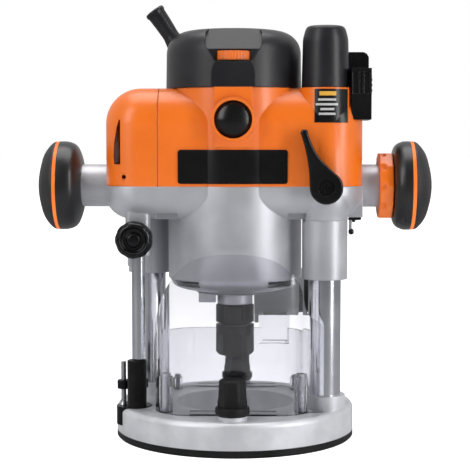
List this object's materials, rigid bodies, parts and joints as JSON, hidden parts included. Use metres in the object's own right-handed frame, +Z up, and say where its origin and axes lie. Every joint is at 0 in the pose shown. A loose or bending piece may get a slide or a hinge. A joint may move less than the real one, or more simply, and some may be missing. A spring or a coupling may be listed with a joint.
{
  "type": "plunge router",
  "caption": "Plunge router: motor carriage on two guide columns over a round base, with side grips, clear guards, depth turret, lock lever, speed dial and collet.",
  "frame": {"origin": "centre of the underside of the round base, on the spindle axis", "axes": "+X towards the winding grip on the right, +Y to the rear (away from the speed dial), +Z up along the spindle"},
  "size_m": [0.2926, 0.1792, 0.3249],
  "materials": {
    "cast_alloy": "satin silver paint over cast alloy",
    "orange": "moulded, semi-gloss",
    "black_matte": "moulded, matte",
    "black_gloss": "moulded, glossy",
    "black_rubber": "soft moulded grip",
    "black_steel": "black oxide",
    "grey_plastic": "moulded",
    "clear": "clear moulded plastic",
    "chrome": "ground and plated",
    "steel": "bright",
    "bronze": "sintered",
    "copper": "enamelled",
    "carbon": "pressed carbon",
    "laminations": "stacked sheet",
    "board": "lacquered"
  },
  "bodies": {
    "base": {"sole_plate": "black_matte", "base_casting": "cast_alloy", "sole_screws": "steel", "column_left": "chrome", "column_right": "chrome", "column_bolts": "steel", "plunge_spring": "steel", "guard_front": "clear", "guard_rear": "clear", "guard_screws": "steel", "dust_spout": "grey_plastic", "dust_collar": "black_matte"},
    "turret": {"turret_disc": "black_matte", "turret_post": "black_matte", "turret_stop_screws": "steel", "turret_stop_nuts": "black_steel", "turret_screw": "steel"},
    "front_fence_knob": {"fence_knob_front": "black_matte"},
    "rear_fence_knob": {"fence_knob_rear": "black_matte"},
    "carriage": {"lower_housing": "cast_alloy", "motor_housing": "orange", "end_cover": "orange", "top_cover": "black_gloss", "spring_cap": "black_matte", "column_bushes": "bronze", "nameplate": "black_gloss", "warning_label": "black_gloss", "brush_caps": "black_gloss", "brush_holders": "bronze", "carbon_brushes": "carbon", "stator_core": "laminations", "stator_windings": "copper", "spindle_bearings": "steel", "speed_control_board": "board", "housing_screws": "steel", "handle_tube_left": "cast_alloy", "handle_tube_right": "cast_alloy", "grip_core_left": "black_rubber", "grip_band_left": "orange", "grip_cap_left": "black_rubber", "cord_sleeve": "black_rubber", "switch_housing": "black_gloss"},
    "rotor": {"spindle": "steel", "armature": "laminations", "commutator": "copper", "cooling_fan": "black_matte", "collet": "black_steel", "collet_nut": "black_steel"},
    "winder_handle": {"winder_shaft": "steel", "grip_core_right": "black_rubber", "grip_band_right": "orange", "grip_cap_right": "black_rubber"},
    "winder_selector": {"selector_ring": "orange"},
    "lock_lever": {"plunge_lock_lever": "black_gloss", "lever_screw": "black_steel"},
    "depth_stop": {"depth_rod": "chrome"},
    "depth_knob": {"depth_lock_knob": "black_matte"},
    "speed_control": {"speed_dial": "orange"},
    "switch_key": {"switch_rocker": "black_matte"},
    "switch_cover": {"switch_shutter": "black_gloss"}
  },
  "joints": [
    {"name": "plunge_slide", "type": "slide", "parent": "base", "child": "carriage", "axis": [0, 0, 1], "range_m": [-0.068, 0], "stiffness_N_per_m": 600, "springref_m": 0.13, "deforming": ["plunge_spring"]},
    {"name": "depth_rod_slide", "type": "slide", "parent": "carriage", "child": "depth_stop", "axis": [0, 0, 1], "range_m": [0, 0.068]},
    {"name": "winder_turn", "type": "hinge", "parent": "carriage", "child": "winder_handle", "pos_m": [0.1, -0.0082, 0.1882], "axis": [1, 0, 0], "range_deg": [-446, 0]},
    {"name": "selector_slide", "type": "slide", "parent": "carriage", "child": "winder_selector", "axis": [1, 0, 0], "range_m": [-0.006, 0]},
    {"name": "lock_lever_turn", "type": "hinge", "parent": "carriage", "child": "lock_lever", "pos_m": [0.0665, -0.05, 0.188], "axis": [0, 1, 0], "range_deg": [0, 40]},
    {"name": "depth_knob_turn", "type": "hinge", "parent": "carriage", "child": "depth_knob", "pos_m": [-0.07165, -0.05, 0.1502], "axis": [0, 1, 0], "range_deg": [-180, 90]},
    {"name": "spindle_turn", "type": "hinge", "parent": "carriage", "child": "rotor", "pos_m": [0, 0, 0.1], "axis": [0, 0, 1], "continuous": true},
    {"name": "speed_dial_turn", "type": "hinge", "parent": "carriage", "child": "speed_control", "pos_m": [0, -0.0392, 0.282], "axis": [0, 0, 1], "range_deg": [-135, 135]},
    {"name": "switch_rock", "type": "hinge", "parent": "carriage", "child": "switch_key", "pos_m": [0.0932, 0.008, 0.2734], "axis": [0, 1, 0], "range_deg": [-7, 7]},
    {"name": "shutter_slide", "type": "slide", "parent": "carriage", "child": "switch_cover", "axis": [0, 0, 1], "range_m": [0, 0.016]},
    {"name": "turret_turn", "type": "hinge", "parent": "base", "child": "turret", "pos_m": [-0.0744, -0.024, 0.02], "axis": [0, 0, 1], "continuous": true},
    {"name": "front_knob_turn", "type": "hinge", "parent": "base", "child": "front_fence_knob", "pos_m": [0, -0.075, 0.03], "axis": [0, 0, 1], "range_deg": [0, 360]},
    {"name": "rear_knob_turn", "type": "hinge", "parent": "base", "child": "rear_fence_knob", "pos_m": [0, 0.075, 0.03], "axis": [0, 0, 1], "range_deg": [0, 360]}
  ],
  "couplings": [
    {"joint": "depth_rod_slide", "follows": "plunge_slide", "ratio": -1},
    {"joint": "winder_turn", "follows": "plunge_slide", "rad_per_m": 114.29}
  ]
}
